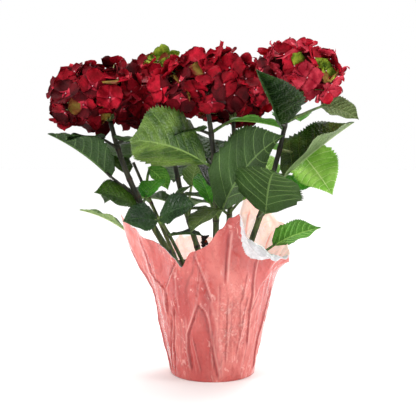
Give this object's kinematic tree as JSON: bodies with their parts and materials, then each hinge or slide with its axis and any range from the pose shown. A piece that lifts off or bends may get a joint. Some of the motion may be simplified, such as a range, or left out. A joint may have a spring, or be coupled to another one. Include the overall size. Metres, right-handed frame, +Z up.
{
  "type": "potted mophead hydrangea",
  "caption": "Hydrangea pot plant with round red flower heads on leafy stems, standing in a nursery pot wrapped in a flared film pot cover.",
  "frame": {"origin": "centre of the pot cover's flat underside", "axes": "+Z up, -Y towards the plant's front, +X to the right seen from the front"},
  "size_m": [0.4258, 0.3837, 0.4509],
  "materials": {
    "pot": "matt",
    "soil": "rough, damp",
    "pot_cover": "glossy crinkled film, silver-white lining",
    "spent_shoot": "rough",
    "stem": "semi-matt",
    "leaf": "satin",
    "bloom": "satin"
  },
  "bodies": {
    "root": {"pot": "pot", "soil": "soil", "pot_cover": "pot_cover", "spent_shoot": "spent_shoot", "stem_left": "stem", "leaves_left": "leaf", "stem_centre": "stem", "leaves_centre": "leaf", "stem_right": "stem", "leaves_right": "leaf", "stem_back_left": "stem", "leaves_back_left": "leaf", "stem_back_right": "stem", "leaves_back_right": "leaf", "stem_side": "stem", "leaves_side": "leaf", "stem_low_front": "stem", "leaves_low_front": "leaf", "stem_low_right": "stem", "leaves_low_right": "leaf", "bloom_left": "bloom", "bloom_centre": "bloom", "bloom_right": "bloom", "bloom_back_left": "bloom", "bloom_back_right": "bloom"}
  },
  "joints": []
}
